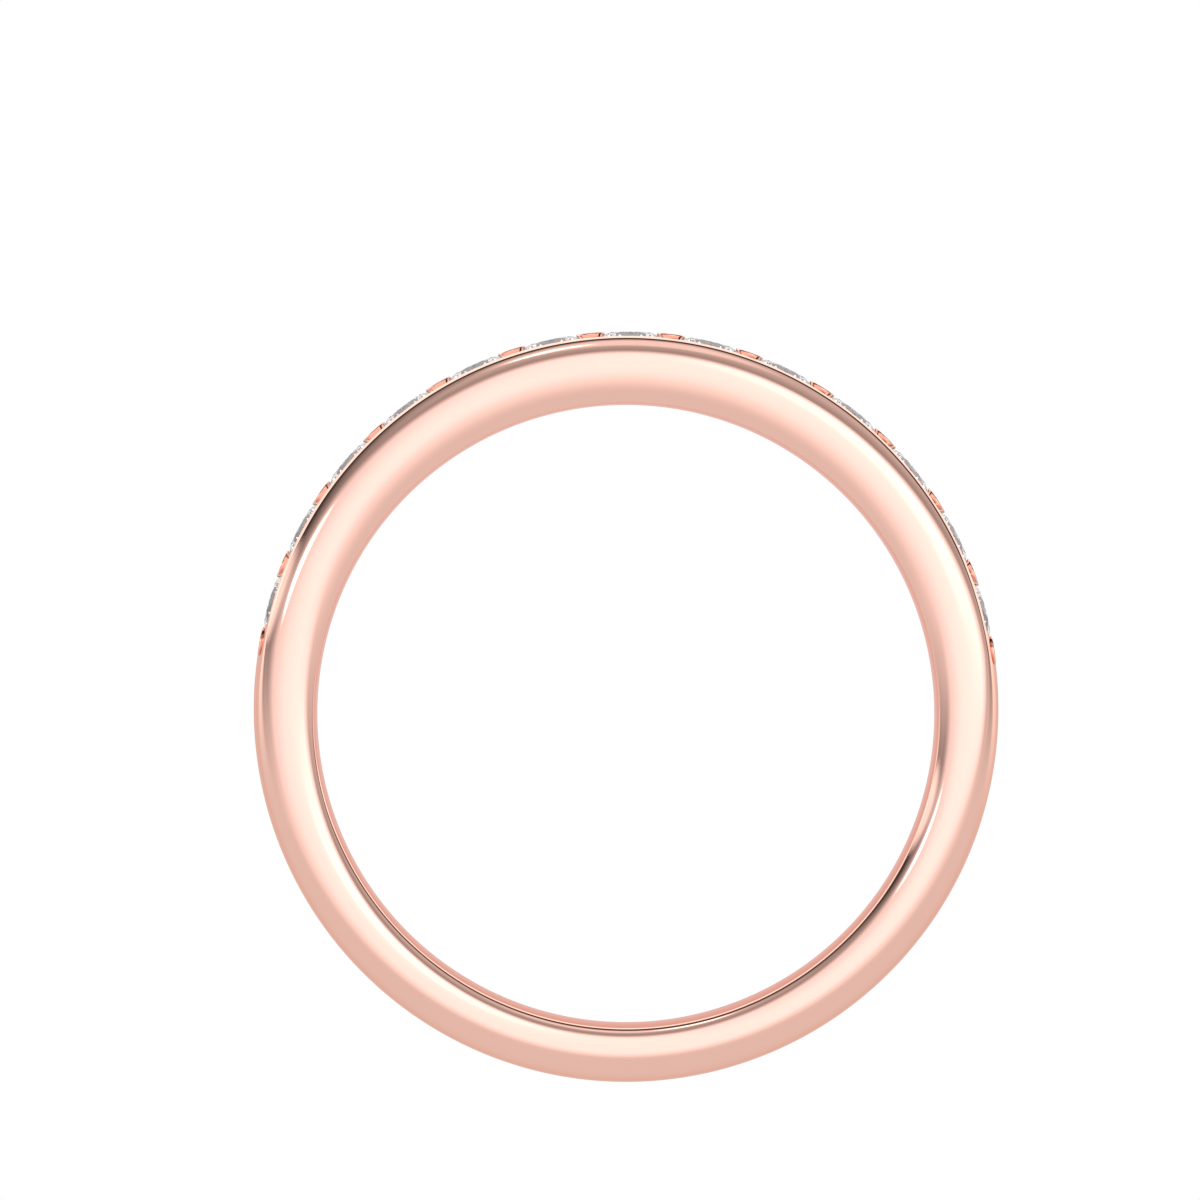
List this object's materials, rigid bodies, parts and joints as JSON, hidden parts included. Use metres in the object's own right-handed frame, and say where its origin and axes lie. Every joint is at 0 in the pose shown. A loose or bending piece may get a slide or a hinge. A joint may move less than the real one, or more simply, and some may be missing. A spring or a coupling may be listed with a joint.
{
  "type": "wedding band",
  "caption": "Polished rose gold half-eternity wedding band with a bead-set row of round brilliant diamonds over its top half.",
  "frame": {"origin": "centre of the finger hole, on its axis and midway between the two sides", "axes": "+Y along the axis of the finger hole, +Z from the finger hole's centre to the middle stone, +X along the row of stones at the top. The ring stands upright with its stones up, and its near side faces -Y"},
  "size_m": [0.0208, 0.0026, 0.0208],
  "materials": {
    "rose_gold": "polished 18 ct rose gold",
    "diamond": "colourless diamond, brilliant cut, polished facets"
  },
  "bodies": {
    "root": {"band": "rose_gold", "diamond_01": "diamond", "diamond_02": "diamond", "diamond_03": "diamond", "diamond_04": "diamond", "diamond_05": "diamond", "diamond_06": "diamond", "diamond_07": "diamond", "diamond_08": "diamond", "diamond_09": "diamond", "diamond_10": "diamond", "diamond_11": "diamond", "diamond_12": "diamond", "diamond_13": "diamond"}
  },
  "joints": []
}
